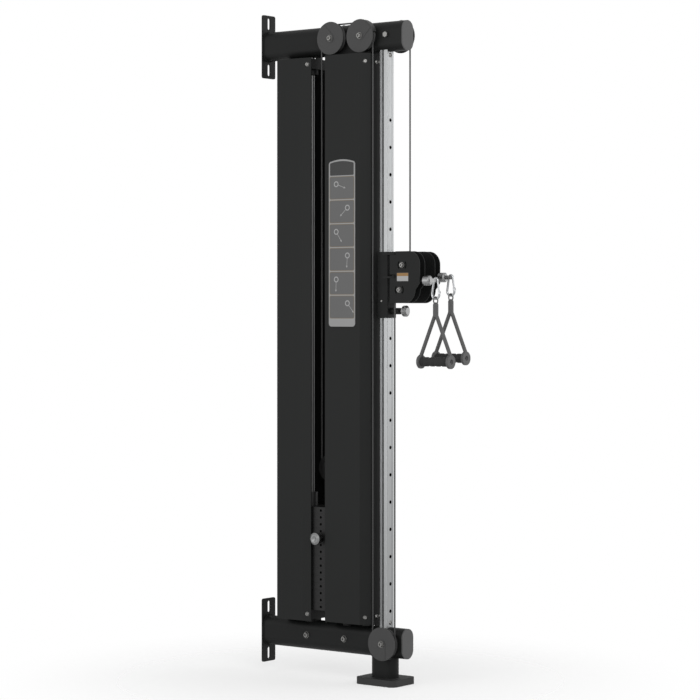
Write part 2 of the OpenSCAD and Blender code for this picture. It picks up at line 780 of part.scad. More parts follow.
// The fork on top of the stem that carries the floating pulley
module pulley_yoke() color(dark) difference() {
    union() {
        for (s = [-1, 1]) along_x(s > 0 ? yoke_x : -yoke_x - yoke_t, s > 0 ? yoke_x + yoke_t : -yoke_x)
            translate([stack_y, 0]) {
                translate([-18, head_top + 32]) square([36, float_up - 32]);
                translate([0, float_z]) circle(18);
            }
        translate([-yoke_x - e, -stack_y - 18, head_top + 32]) cube([2 * yoke_x + 2 * e, 36, 10]);
        translate([0, -stack_y, head_top + 0.4]) cylinder(h = 34, d = stem_d + 14);
    }
    translate([0, -stack_y, head_top - 1]) cylinder(h = stem_top - head_top + 1.1, d = stem_d + 2 * weld_gap);
    translate([0, -stack_y, float_z]) rod_x(-beam_w, beam_w, bolt_d + 0.1);
}

module yoke_bolt() color(steel) translate([0, -stack_y, float_z]) {
    bolt_x(-yoke_x - yoke_t - e, yoke_x + yoke_t + e, bolt_d);
    rotate([0, 90, 0]) difference() {
        translate([0, 0, -yoke_x + e]) cylinder(h = 2 * yoke_x - 2 * e, d = bush_d);
        translate([0, 0, -yoke_x]) cylinder(h = 2 * yoke_x, d = bolt_d - e);
    }
}

module floating_pulley() color(cable_black) translate([0, -stack_y, float_z])
    sheave(float_r, rim_over, pulley_w, bush_d);

module selector_pin() color(chrome) translate([0, -stack_y, pin_z]) {
    rod_x(-weight_w / 2 - 24, stem_d / 2 - 1, pin_d);
    rod_x(-weight_w / 2 - 16, -weight_w / 2 - 2, pin_d + 8);
    rod_x(-weight_w / 2 - 36, -weight_w / 2 - 15, knob_d);
    translate([-weight_w / 2 - 36, 0, 0]) rotate([0, -90, 0]) difference() {
        cylinder(h = 5, d1 = knob_d, d2 = knob_d - 14);
        translate([0, 0, 1.5]) cylinder(h = 4, d1 = knob_d / 6, d2 = knob_d - 18);
    }
}

// Pulleys on the frame

module top_pulley(side, y) translate([side * cable_x, -y, top_z])
    sheave(pulley_r, rim_over, pulley_w, bush_d);
module near_rear_pulley() color(cable_black) top_pulley(-1, rear_pulley_y);
module near_front_pulley() color(cable_black) top_pulley(-1, near_front_y);
module far_rear_pulley() color(cable_black) top_pulley(1, rear_pulley_y);
module far_front_pulley() color(cable_black) top_pulley(1, outer_y);
module bottom_pulley() color(cable_black) translate([-cable_x, -outer_y, 0])
    sheave(pulley_r, rim_over, pulley_w, bush_d);

// Each pulley's side of the machine, distance from the wall, height and its cover's arm
axles = [
    [-1, rear_pulley_y, top_z, 135], [1, rear_pulley_y, top_z, 135], [-1, near_front_y, top_z, 45],
    [-1, outer_y, 0, -90], [1, outer_y, top_z, 45]
];

module at_axle(a) translate([0, -a[1], a[2]]) mirror([a[0] > 0 ? 1 : 0, 0, 0]) children();

// Bolts through the beam, with a spacer and a bearing bush under each pulley. The two rear
// pulleys share one bolt.
module pulley_axles() color(steel) {
    for (a = axles) at_axle(a) rotate([0, -90, 0]) difference() {
        translate([0, 0, beam_w / 2 + e]) cylinder(h = cover_x - beam_w / 2 - 2 * e, d = bush_d);
        translate([0, 0, beam_w / 2 - 1]) cylinder(h = cover_x, d = bolt_d - e);
    }
    for (a = axles) if (a[1] > rear_pulley_y) at_axle(a) bolt_x(-cover_face - e, beam_w / 2 + e, bolt_d);
    at_axle(axles[0]) bolt_x(-cover_face - e, cover_face + e, bolt_d);
}

// A guard disc over a pulley, with a raised arm and a lip over the cable
module pulley_cover(arm) difference() {
    union() {
        rod_x(-cover_x - cover_t, -cover_x, 2 * cover_r, $fn = 72);
        translate([-cover_face, 0, 0]) rotate([90, 0, -90]) mirror([0, 0, 1]) rotate([0, 0, arm])
            linear_extrude(cover_arm_rise + cover_t / 2) {
                circle(cover_arm_w / 2);
                translate([0, -cover_arm_w / 2]) square([cover_r - 6, cover_arm_w]);
            }
        translate([-cable_x + pulley_w / 2, 0, 0]) rotate([90, 0, -90]) rotate([0, 0, arm - cover_lip / 2])
            rotate_extrude(angle = cover_lip, $fn = 72) translate([rim_r + 2, 0])
                square([cover_r - rim_r - 2.6, cover_x - cable_x + pulley_w / 2 + cover_t / 2]);
    }
    rod_x(-cover_face - 1, 0, bolt_d + 0.1);
}

module pulley_covers() color(cover_grey) for (a = axles) at_axle(a) pulley_cover(a[3]);

// Cables

// The parts of the cable that keep their shape: bends over the frame's pulleys and the
// runs between them
module fixed_cables() color(cable_black) {
    top = top_z + pulley_r;
    translate([-cable_x, -rear_pulley_y, top_z]) wrap(pulley_r, 90, 90);
    translate([-cable_x, 0, top]) rod_y(rear_pulley_y, near_front_y, cable_d);
    translate([-cable_x, -near_front_y, top_z]) wrap(pulley_r, 0, 90);
    translate([-cable_x, -near_front_y - pulley_r, 0]) cylinder(h = top_z, d = cable_d);
    translate([-cable_x, -outer_y, 0]) wrap(pulley_r, -180, 180);
    translate([cable_x, -rear_pulley_y, top_z]) wrap(pulley_r, 90, 90);
    translate([cable_x, 0, top]) rod_y(rear_pulley_y, outer_y, cable_d);
    translate([cable_x, -outer_y, top_z]) wrap(pulley_r, 0, 90);
}

// The floating pulley's bend and the two runs up from it, which grow shorter in a lift
module stack_cables() color(cable_black) {
    translate([0, -stack_y, float_z]) wrap(float_r, -180, 180);
    z = float_z + 0.3;
    bar([0, -stack_y + float_r, z], [-cable_x, -rear_pulley_y + pulley_r, top_z - 0.4], cable_d);
    bar([0, -stack_y - float_r, z], [cable_x, -rear_pulley_y + pulley_r, top_z - 0.4], cable_d);
}

// The near run up to the carriage and the far run down to it
module carriage_cables() color(cable_black) {
    translate([-cable_x, -swivel_y, 0.4]) cylinder(h = lower_z - 0.8, d = cable_d);
    translate([cable_x, -swivel_y, upper_z + 0.4]) cylinder(h = top_z - upper_z - 0.8, d = cable_d);
}

// Carriage

module carriage_sleeve() color(dark) difference() {
    union() {
        translate([0, -column_mid, sleeve_z]) linear_extrude(sleeve_h) difference() {
            round_rect(column_w + 2 * (sleeve_in + sleeve_wall), column_d + 2 * (sleeve_in + sleeve_wall), 3);
            square([column_w + 2 * sleeve_in, column_d + 2 * sleeve_in], center = true);
        }
        for (s = [-1, 1], z = [top_ear_z, mid_ear_z]) {
            translate([s > 0 ? 0 : -cable_x - ear_w / 2, -sleeve_front - 14, z])
                cube([cable_x + ear_w / 2, 14 + e, ear_t]);
            translate([s * cable_x - ear_w / 2, -swivel_y, z]) cube([ear_w, swivel_y - sleeve_front, ear_t]);
            translate([s * cable_x, -swivel_y, z]) cylinder(h = ear_t, d = ear_w);
        }
    }
    for (s = [-1, 1], z = [top_ear_z, mid_ear_z])
        translate([s * cable_x, -swivel_y, z - 1]) cylinder(h = ear_t + 2, d = pivot_d + 2 * run_gap);
    translate([0, 0, pop_z]) rod_y(column_mid, sleeve_front + 1, barrel_d - 8);
}

// Plastic pads between the sleeve and the column, at both ends of the sleeve
module glide_pads() color("#1d1d1d") difference() {
    for (z = [sleeve_z + 8, block_top - glide_h - 8], s = [-1, 1]) translate([0, -column_mid, z]) {
        translate([s * (column_w + 2 * glide_gap + glide_t) / 2, 0, glide_h / 2])
            cube([glide_t - e, column_d - 6, glide_h], center = true);
        translate([0, s * (column_d + 2 * glide_gap + glide_t) / 2, glide_h / 2])
            cube([column_w - 8, glide_t - e, glide_h], center = true);
    }
    translate([0, 0, pop_z]) rod_y(column_mid, sleeve_front, barrel_d);
}

// The threaded barrel that holds the pop pin and its spring
module pin_barrel() color(dark) translate([0, 0, pop_z]) difference() {
    union() {
        rod_y(column_front + 1, sleeve_front + 1, barrel_d - 8 - 2 * weld_gap);
        rod_y(sleeve_front + weld_gap, barrel_end, barrel_d);
    }
    rod_y(column_front, column_front + barrel_floor + 1, pop_d + 0.3);
    rod_y(column_front + barrel_floor, barrel_end - barrel_floor, cavity_d);
    rod_y(column_front, barrel_end + 1, pop_shaft_d + 0.3);
}

module pop_spring() color(steel) translate([0, 0, pop_z]) difference() {
    rod_y(shoulder_y + shoulder_t + 0.3, barrel_end - barrel_floor - 0.3, cavity_d - 1);
    rod_y(column_front, barrel_end, pop_shaft_d + 1.2);
}

// The spring pin that drops into a hole of the column, drawn back as it is while the
// carriage slides: its tip, its shoulder in the barrel, its shaft and its knob
module pop_pin() color(chrome) translate([0, 0, pop_z]) {
    rod_y(column_front + tip_gap, shoulder_y + shoulder_t, pop_d);
    rod_y(shoulder_y, shoulder_y + shoulder_t, cavity_d - 0.6);
    rod_y(shoulder_y, barrel_end + knob_out, pop_shaft_d);
    rod_y(barrel_end + pop_travel + 0.5, barrel_end + knob_out, pop_shaft_d + 6);
    rod_y(barrel_end + knob_out - e, barrel_end + knob_out + 10, pop_knob_d);
    at_y(barrel_end + knob_out + 10 - e) rotate([90, 0, 0])
        cylinder(h = 6, d1 = pop_knob_d, d2 = pop_knob_d - 16);
}

// Swivel blocks, drawn for the near side and mirrored for the far side

// The side plate of a block: distance from the wall across, height up
module block_side() difference() {
    union() {
        translate([swivel_y + block_front - corner_r, block_top - corner_r]) circle(corner_r);
        translate([swivel_y + block_front - block_nose - lobe_r, block_z + lobe_r]) circle(lobe_r);
        polygon([
            [swivel_y - block_back, block_z],
            [swivel_y + block_front - block_nose - lobe_r, block_z],
            [swivel_y + block_front - block_nose, block_z + lobe_r],
            [swivel_y + block_front, near_exit - corner_low],
            [swivel_y + block_front, block_top - corner_r], [swivel_y + block_front - corner_r, block_top],
            [swivel_y - block_back, block_top]
        ]);
    }
    translate([0, top_ear_z - ear_gap]) square([swivel_y + ear_notch, ear_t + block_top - top_ear_z]);
    translate([0, mid_ear_z - ear_gap]) square([swivel_y + ear_notch, ear_t + ear_room]);
    for (c = [[upper_y, upper_z], [lower_y, lower_z]]) translate(c) {
        circle(d = block_bolt_d + 0.1);
        for (s = [-1, 1]) intersection() {
            difference() {
                circle(window_r);
                circle(window_r - window_w);
            }
            polygon([[0, 0], [s * 2 * window_r, -2 * window_r], [s * 2 * window_r, 2 * window_r]]);
        }
    }
}

module block(s) mirror([s > 0 ? 1 : 0, 0, 0]) difference() {
    union() {
        along_x(-cable_x - block_w / 2, -cable_x - block_in) block_side();
        along_x(-cable_x + block_in, -cable_x + block_w / 2) block_side();
        for (z = [top_ear_z, mid_ear_z]) translate([-cable_x, -swivel_y, z - ear_gap - web_t]) {
            translate([-block_in - e, -web_w / 2, 0]) cube([2 * block_in + 2 * e, web_w, web_t]);
            cylinder(h = web_t + 2 * ear_gap + ear_t + pivot_head_t, d = pivot_d);
            translate([0, 0, web_t + 2 * ear_gap + ear_t]) cylinder(h = pivot_head_t, d = pivot_head_d);
        }
    }
    for (z = [top_ear_z, mid_ear_z])
        translate([-cable_x, -swivel_y, z - 10]) cylinder(h = ear_t + 20, d = pivot_bore);
}

module near_block() color(dark) block(-1);
module far_block() color(dark) block(1);

// Bolts through a block, with a bearing bush for each sheave
module block_bolts(s) mirror([s > 0 ? 1 : 0, 0, 0]) for (c = [[upper_y, upper_z], [lower_y, lower_z]])
    translate([-cable_x, -c[0], c[1]]) {
        bolt_x(-block_w / 2 - e, block_w / 2 + e, block_bolt_d);
        rotate([0, 90, 0]) difference() {
            translate([0, 0, -block_in + 0.1]) cylinder(h = 2 * block_in - 0.2, d = sheave_bush_d);
            translate([0, 0, -block_in]) cylinder(h = 2 * block_in, d = block_bolt_d - e);
        }
    }

module near_block_bolts() color(steel) block_bolts(-1);
module far_block_bolts() color(steel) block_bolts(1);

module block_sheave(s, y, z, r) translate([s * cable_x, -y, z])
    sheave(r, sheave_over, sheave_w, sheave_bush_d);
module near_upper_sheave() color(cable_black) block_sheave(-1, upper_y, upper_z, upper_r);
module near_lower_sheave() color(cable_black) block_sheave(-1, lower_y, lower_z, lower_r);
module far_upper_sheave() color(cable_black) block_sheave(1, upper_y, upper_z, upper_r);
module far_lower_sheave() color(cable_black) block_sheave(1, lower_y, lower_z, lower_r);

// The bend round a block's working sheave and the run out to the stop
module near_pull_cable() color(cable_black) {
    translate([-cable_x, -lower_y, lower_z]) wrap(lower_r, 90, 90);
    translate([-cable_x, 0, near_exit]) rod_y(lower_y, stop_y - 0.3, cable_d);
}

module far_pull_cable() color(cable_black) {
    translate([cable_x, -upper_y, upper_z]) wrap(upper_r, 180, 90);
    translate([cable_x, 0, far_exit]) rod_y(upper_y, stop_y - 0.3, cable_d);
}

// Cable ends. Each is drawn at the origin of its cable: x = 0, height 0

// A bevelled end of the round stop
module stop_end() cylinder(h = stop_bevel, d1 = stop_d, d2 = stop_d - 2.5 * stop_bevel);

// The round stop, and the clevis and pin that a snap hook hangs on
module cable_stop() difference() {
    union() {
        rod_y(stop_y + stop_bevel, stop_y + stop_l - stop_bevel, stop_d);
        at_y(stop_y + stop_bevel + e) rotate([-90, 0, 0]) stop_end();
        at_y(stop_y + stop_l - stop_bevel - e) rotate([90, 0, 0]) stop_end();
        for (s = [-1, 1]) along_x(s > 0 ? clevis_x : -clevis_out, s > 0 ? clevis_out : -clevis_x) {
            translate([stop_y + stop_l - clevis_root, -clevis_r])
                square([eye_y - stop_y - stop_l + clevis_root, 2 * clevis_r]);
            translate([eye_y, 0]) circle(clevis_r);
        }
        at_y(eye_y) rod_x(-clevis_out - pin_over, clevis_out + pin_over, hook_pin_d);
    }
    rod_y(stop_y - 1, stop_y + cable_socket, cable_d + cable_gap);
}
hook_pin_d = 2 * hook_top_r - hook_wire - 2 * run_gap;

// A snap hook hanging from the clevis pin: a closed teardrop of wire whose front side
// is left open for the gate
hook_lean = asin((hook_low_r - hook_top_r) / hook_l);
gate_low = 8;
gate_top = 5;
gate_high = sqrt(hook_l * hook_l - pow(hook_low_r - hook_top_r, 2)) - gate_top;

module arc_wire(r, d, a, s) rotate([90, 0, -90]) rotate([0, 0, a])
    rotate_extrude(angle = s, $fn = 48) translate([r, 0]) circle(d = d, $fn = 24);

// A straight wire along one side of the hook, from length a to b above its low bend
module hook_side(s, a, b, d) translate([0, 0, -hook_l])
    rotate([-s * hook_lean, 0, 0]) translate([0, -s * hook_low_r, a]) cylinder(h = b - a, d = d);

module snap_hook() at_y(eye_y) {
    side = gate_high + gate_top;
    arc_wire(hook_top_r, hook_wire, hook_lean, 180 - 2 * hook_lean);
    translate([0, 0, -hook_l]) arc_wire(hook_low_r, hook_wire, 180 - hook_lean, 180 + 2 * hook_lean);
    hook_side(-1, -e, side + e, hook_wire);
    hook_side(1, -e, gate_low - hook_wire / 2 - gate_gap, hook_wire);
    hook_side(1, gate_high + gate_gap, side + e, hook_wire);
    difference() {
        for (x = [-hook_wire / 2, hook_wire / 2 - cheek_t]) hook_ear(x, cheek_t);
        gate_axis() rod_x(-hook_wire, hook_wire, gate_pin_d + 0.1);
    }
}

module gate_axis() translate([0, 0, -hook_l]) rotate([-hook_lean, 0, 0])
    translate([0, -hook_low_r, gate_low]) children();

// A cheek of the hook beside the gate's pivot
module hook_ear(x, t) gate_axis() {
    translate([x, -hook_wire / 2, -gate_low]) cube([t, hook_wire, gate_low]);
    rod_x(x, x + t, hook_wire);
}

module hook_gate() at_y(eye_y) {
    in = cheek_t + 0.2;
    gate_axis() rod_x(-hook_wire / 2 - 0.6, hook_wire / 2 + 0.6, gate_pin_d);
    gate_axis() rod_x(-hook_wire / 2 + in, hook_wire / 2 - in, gate_wire);
    intersection() {
        hook_side(1, gate_low, gate_high, gate_wire);
        gate_axis() translate([-hook_wire / 2 + in, -hook_wire, 0])
            cube([hook_wire - 2 * in, hook_wire * 2, hook_wire / 2 + 1]);
    }
    hook_side(1, gate_low + hook_wire / 2 + 0.6, gate_high, gate_wire);
}

// The handle's frame hangs from the hook on a ring: a neck, two legs, two discs and a bar
ring_top = -hook_l - hook_low_r + hook_wire / 2 + ring_wire / 2 + 0.3;
neck_z = ring_top - 2 * ring_r;
grip_z = neck_z - neck_l + ring_bite - leg_drop;

module handle_frame() at_y(eye_y) {
    translate([0, 0, ring_top - ring_r]) rotate([90, 0, 0])
        rotate_extrude($fn = 48) translate([ring_r, 0]) circle(d = ring_wire, $fn = 24);
    difference() {
        union() {
            translate([0, 0, neck_z - neck_l + ring_bite]) cylinder(h = neck_l - neck_w / 2, d = neck_w);
            translate([0, 0, neck_z + ring_bite - neck_w / 2]) sphere(d = neck_w);
            for (s = [-1, 1]) {
                bar([0, -s * leg_root, neck_z - neck_l + ring_bite + 5],
                    [0, -s * grip_span / 2, grip_z + disc_d / 2 - leg_root], leg_d);
                translate([0, 0, grip_z])
                    rod_y(s * grip_span / 2 - disc_t / 2, s * grip_span / 2 + disc_t / 2, disc_d);
            }
            translate([0, 0, grip_z]) rod_y(-grip_span / 2, grip_span / 2, bar_d);
        }
        translate([0, 0, ring_top - ring_r]) rotate([90, 0, 0])
            rotate_extrude($fn = 48) translate([ring_r, 0]) circle(d = ring_wire + 0.8, $fn = 24);
        translate([0, 0, grip_z]) {
            rod_y(-grip_span, grip_span, bar_d - 2 * bar_wall);
            for (s = [-1, 1]) rod_y(s * grip_span / 2 + (s > 0 ? disc_t / 2 - recess : -disc_t),
                s * grip_span / 2 + (s > 0 ? disc_t : recess - disc_t / 2), disc_hole_d);
        }
    }
}

// The ribbed grip that turns on the handle's bar
module handle_grip() at_y(eye_y) translate([0, 0, grip_z]) rotate([90, 0, 0]) {
    l = grip_span - disc_t - 0.6;
    swell = 2;
    waves = 4;
    rotate_extrude() difference() {
        translate([0, -l / 2]) square([grip_d / 2, l]);
        translate([-1, -l]) square([bar_d / 2 + run_gap + 1, 2 * l]);
        for (i = [0:waves]) translate([grip_d / 2 + 12 - swell, (i / waves - 0.5) * (l - 16)]) circle(12);
    }
}

module near_end() translate([-cable_x, 0, near_exit]) children();
module far_end() translate([cable_x, 0, far_exit]) children();
module near_stop() color(chrome) near_end() cable_stop();
module far_stop() color(chrome) far_end() cable_stop();
module near_hook() color(chrome) near_end() snap_hook();
module far_hook() color(chrome) far_end() snap_hook();
module near_gate() color(chrome) near_end() hook_gate();
module far_gate() color(chrome) far_end() hook_gate();
module near_handle() color(handle_grey) near_end() handle_frame();
module far_handle() color(handle_grey) far_end() handle_frame();
module near_grip() color(rubber) near_end() handle_grip();
module far_grip() color(rubber) far_end() handle_grip();

wall_plates();
lower_beam();
upper_beam();
beam_end_caps();
foot_post();
foot_pad();
column();
column_spigots();
rear_shroud();
front_shroud();
shroud_brackets();
frame_screws();
placard();
guide_rods();
rod_collars();
stack_bumpers();
resting_plates();
pulley_axles();
pulley_covers();
fixed_cables();
near_rear_pulley();
near_front_pulley();
bottom_pulley();
far_rear_pulley();
far_front_pulley();
head_plate();
selector_stem();
lifted_plates();
guide_bushings();
pulley_yoke();
yoke_bolt();
stack_cables();
floating_pulley();
selector_pin();
carriage_sleeve();
glide_pads();
pin_barrel();
pop_spring();
carriage_cables();
pop_pin();
near_block();
near_block_bolts();
near_upper_sheave();
near_lower_sheave();
near_pull_cable();
near_stop();
near_hook();
near_gate();
near_handle();
near_grip();
far_block();
far_block_bolts();
far_upper_sheave();
far_lower_sheave();
far_pull_cable();
far_stop();
far_hook();
far_gate();
far_handle();
far_grip();
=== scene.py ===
"""Looks for the wall-mounted cable machine. Metres, +Z up, +Y into the wall.

The camera and the stage come first. The pieces follow as the machine is put together:
frame, column, shrouds, weight stack, pulleys, carriage, blocks, cable and handles.
"""

import math

import bpy
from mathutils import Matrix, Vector


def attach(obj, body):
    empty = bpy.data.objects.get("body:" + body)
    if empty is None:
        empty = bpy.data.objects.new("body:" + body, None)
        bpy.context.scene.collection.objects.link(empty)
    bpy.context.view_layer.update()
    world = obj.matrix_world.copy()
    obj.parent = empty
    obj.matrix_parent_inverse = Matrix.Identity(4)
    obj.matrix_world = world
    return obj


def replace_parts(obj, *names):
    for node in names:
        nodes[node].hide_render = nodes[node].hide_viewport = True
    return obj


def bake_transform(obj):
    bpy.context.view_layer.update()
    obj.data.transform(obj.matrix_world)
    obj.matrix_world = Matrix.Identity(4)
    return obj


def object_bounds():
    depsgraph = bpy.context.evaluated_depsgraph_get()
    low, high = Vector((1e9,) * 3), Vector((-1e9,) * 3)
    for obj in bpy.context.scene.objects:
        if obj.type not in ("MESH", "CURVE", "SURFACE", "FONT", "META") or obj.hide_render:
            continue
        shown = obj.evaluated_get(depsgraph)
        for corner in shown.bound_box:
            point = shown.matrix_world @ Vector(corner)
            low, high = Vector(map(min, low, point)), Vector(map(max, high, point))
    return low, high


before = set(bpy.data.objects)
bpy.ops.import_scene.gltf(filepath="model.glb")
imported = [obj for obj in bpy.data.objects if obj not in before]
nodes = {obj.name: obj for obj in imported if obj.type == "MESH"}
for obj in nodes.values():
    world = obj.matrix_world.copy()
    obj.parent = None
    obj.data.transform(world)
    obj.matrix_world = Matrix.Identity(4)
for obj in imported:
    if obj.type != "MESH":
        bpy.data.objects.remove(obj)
cad_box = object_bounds()
scene = bpy.context.scene
scene.view_settings.view_transform = "Standard"


# Camera
# At the photograph's place: level, so that uprights stay upright, and shifted
# down to frame the foot.
def add_object(name, data):
    made = bpy.data.objects.new(name, data)
    scene.collection.objects.link(made)
    return made


view = bpy.data.cameras.new("camera")
view.lens = 122.6
view.sensor_width = 36.0
view.shift_y = -0.0571
view.clip_end = 60
camera = add_object("camera", view)
camera.location = (-7.005, -5.810, 1.218)
camera.rotation_euler = (math.radians(90), 0, math.radians(-52.3))
scene.camera = camera


# Stage
# A pale floor that fades out towards its rim, a white surround for the camera and for
# reflections, and soft lamps at a plain level.
class Value:
    """A shader socket that does sums."""

    def __init__(self, finish, socket):
        self.finish, self.socket = finish, socket

    def sum(self, operation, *others, flip=False):
        given = [self, *others]
        if flip:
            given.reverse()
        return self.finish.node("ShaderNodeMath", {"operation": operation}, dict(enumerate(given)))

    def __add__(self, other):
        return self.sum("ADD", other)

    def __sub__(self, other):
        return self.sum("SUBTRACT", other)

    def __mul__(self, other):
        return self.sum("MULTIPLY", other)

    def __rsub__(self, other):
        return self.sum("SUBTRACT", other, flip=True)

    __radd__ = __add__
    __rmul__ = __mul__

    def between(self, low, high):
        """1 where the value lies between low and high, and 0 elsewhere."""
        return self.sum("GREATER_THAN", low) * self.sum("LESS_THAN", high)


class Finish:
    """A material that adds its own nodes."""

    def __init__(self, name, **fixed):
        self.material = bpy.data.materials.new(name)
        self.material.use_nodes = True
        self.tree = self.material.node_tree
        self.shader = self.tree.nodes["Principled BSDF"]
        for socket, value in fixed.items():
            self.set(self.shader, socket.replace("_", " "), value)

    def set(self, node, key, value):
        socket = node.inputs[key]
        if isinstance(value, Value):
            self.tree.links.new(value.socket, socket)
        elif socket.type == "RGBA" and len(value) == 3:
            socket.default_value = (*value, 1)
        else:
            socket.default_value = value

    def node(self, kind, settings, inputs, out=0):
        made = self.tree.nodes.new(kind)
        for key, value in settings.items():
            setattr(made, key, value)
        for key, value in inputs.items():
            self.set(made, key, value)
        return Value(self, made.outputs[out])

    def place(self, stretch=(1, 1, 1)):
        """The Object coordinates, each times its stretch."""
        spot = self.node("ShaderNodeTexCoord", {}, {}, "Object")
        return self.node("ShaderNodeVectorMath", {"operation": "MULTIPLY"}, {0: spot, 1: stretch})

    def along(self, axis):
        """The Object coordinate along X, Y or Z."""
        return self.node("ShaderNodeSeparateXYZ", {}, {0: self.place()}, axis)

    def noise(self, scale, stretch=(1, 1, 1), detail=3.0, rough=0.5):
        return self.node(
            "ShaderNodeTexNoise", {},
            {"Vector": self.place(stretch), "Scale": scale, "Detail": detail, "Roughness": rough},
        )

    def spread(self, value, low, high):
        """0 up to low and 1 from high on, with a smooth climb between."""
        return self.node(
            "ShaderNodeMapRange", {"interpolation_type": "SMOOTHSTEP"},
            {"Value": value, "From Min": low, "From Max": high},
        )

    def mix(self, share, one, other):
        return self.node("ShaderNodeMix", {"data_type": "RGBA"}, {0: share, 6: one, 7: other}, 2)

    def colour(self, value):
        self.set(self.shader, "Base Color", value)

    def roughness(self, value):
        self.set(self.shader, "Roughness", value)

    def bump(self, height, depth, strength=0.5):
        relief = self.node(
            "ShaderNodeBump", {}, {"Strength": strength, "Distance": depth, "Height": height}
        )
        self.set(self.shader, "Normal", relief)


def grey(level, tint=(1, 1, 1)):
    """The linear colour of an sRGB grey level from 0 to 255."""
    s = level / 255
    linear = s / 12.92 if s <= 0.04045 else ((s + 0.055) / 1.055) ** 2.4
    return tuple(linear * t for t in tint)


def around(count):
    """The angles of even steps round a circle."""
    return [math.tau * i / count for i in range(count)]


def add_mesh(name, points, faces, materials, face_slots=None, smooth=True):
    mesh = bpy.data.meshes.new(name)
    mesh.from_pydata(points, [], faces)
    for m in materials:
        mesh.materials.append(m)
    for i, face in enumerate(mesh.polygons):
        face.use_smooth = smooth
        if face_slots:
            face.material_index = face_slots[i]
    mesh.update()
    return add_object(name, mesh)


def make_surround(light):
    """White to the camera and in reflections, and a plain light on the machine."""
    world = bpy.data.worlds.new("studio")
    world.use_nodes = True
    scene.world = world
    tree = world.node_tree
    soft, white = tree.nodes["Background"], tree.nodes.new("ShaderNodeBackground")
    for background, strength in ((soft, light), (white, 1.0)):
        background.inputs["Color"].default_value = (1, 1, 1, 1)
        background.inputs["Strength"].default_value = strength
    path = tree.nodes.new("ShaderNodeLightPath")
    seen = path.outputs["Is Camera Ray"]
    for ray in ("Is Glossy Ray", "Is Transmission Ray"):
        either = tree.nodes.new("ShaderNodeMath")
        either.operation = "MAXIMUM"
        tree.links.new(seen, either.inputs[0])
        tree.links.new(path.outputs[ray], either.inputs[1])
        seen = either.outputs[0]
    choose = tree.nodes.new("ShaderNodeMixShader")
    tree.links.new(seen, choose.inputs[0])
    tree.links.new(soft.outputs[0], choose.inputs[1])
    tree.links.new(white.outputs[0], choose.inputs[2])
    tree.links.new(choose.outputs[0], tree.nodes["World Output"].inputs["Surface"])


def make_floor(reach, even, clear, opacity, gap=0.0004, sides=64):
    """A disc just under the foot pad, even in the middle and clear near its rim."""
    middle = Vector((0, -0.35, cad_box[0][2] - gap))
    pale = Finish("pale_floor", Roughness=0.9)
    pale.colour(pale.mix(pale.noise(40), grey(250), grey(253)))
    away = pale.node("ShaderNodeVectorMath", {"operation": "DISTANCE"}, {0: pale.place(), 1: middle}, "Value")
    pale.set(pale.shader, "Alpha", opacity * (1 - pale.spread(away, even, clear)))
    rim = [middle + reach * Vector((math.cos(a), math.sin(a), 0)) for a in around(sides)]
    add_mesh("floor", rim, [tuple(range(sides))], [pale.material])


make_surround(light=0.55)
make_floor(reach=1.5, even=0.35, clear=1.4, opacity=0.45)
lit_point = Vector((0, -0.4, 1.1))
for name, spot, power, size in (
    ("key", (-3.6, -4.6, 3.6), 120, 3.2),
    ("side", (-4.6, 1.2, 1.6), 60, 3.0),
    ("fill", (3.2, -4.4, 2.2), 60, 3.0),
):
    lamp = bpy.data.lights.new(name, "AREA")
    lamp.energy, lamp.size = power, size
    holder = add_object(name, lamp)
    holder.location = spot
    holder.rotation_euler = (lit_point - Vector(spot)).to_track_quat("-Z", "Y").to_euler()


# Frame
# Steel plates with slots for the wall bolts carry two flat-oval steel tubes. The foot
# post, the shrouds' brackets and the guide rods' collars have the same black paint.
def paint(name, level, gloss):
    """Satin powder coat: fine orange peel, faint clouding, a little dust."""
    tint = (0.97, 1.02, 1.0)
    made = Finish(name, Specular_IOR_Level=0.12)
    cloud = made.noise(3.5, detail=4)
    dust = made.noise(1400, detail=1)
    made.colour(made.mix(cloud, grey(level - 2, tint), grey(level + 3, tint)))
    made.roughness(gloss + 0.1 * cloud + 0.05 * dust)
    made.bump(made.noise(620, detail=2), 0.00006)
    return made.material


def dress(material, *names):
    """Gives CAD nodes their finish."""
    for name in names:
        for slot in nodes[name].material_slots:
            slot.material = material


frame_paint = paint("frame_paint", 24, gloss=0.42)
dress(frame_paint, "wall_plates", "lower_beam", "upper_beam", "foot_post", "shroud_brackets",
      "rod_collars")


# Weld beads
# The beams are welded to the wall plates, and the foot post to the lower beam. Each bead
# is a row of overlapping ripples under the frame's paint.
def box(name):
    """The low and the high corner of a CAD node, to a hundredth of a millimetre."""
    axes = list(zip(*nodes[name].bound_box))
    return [tuple(round(end(axis), 5) for axis in axes) for end in (min, max)]


SOCKETS = {float: "NodeSocketFloat", int: "NodeSocketInt", tuple: "NodeSocketVector"}


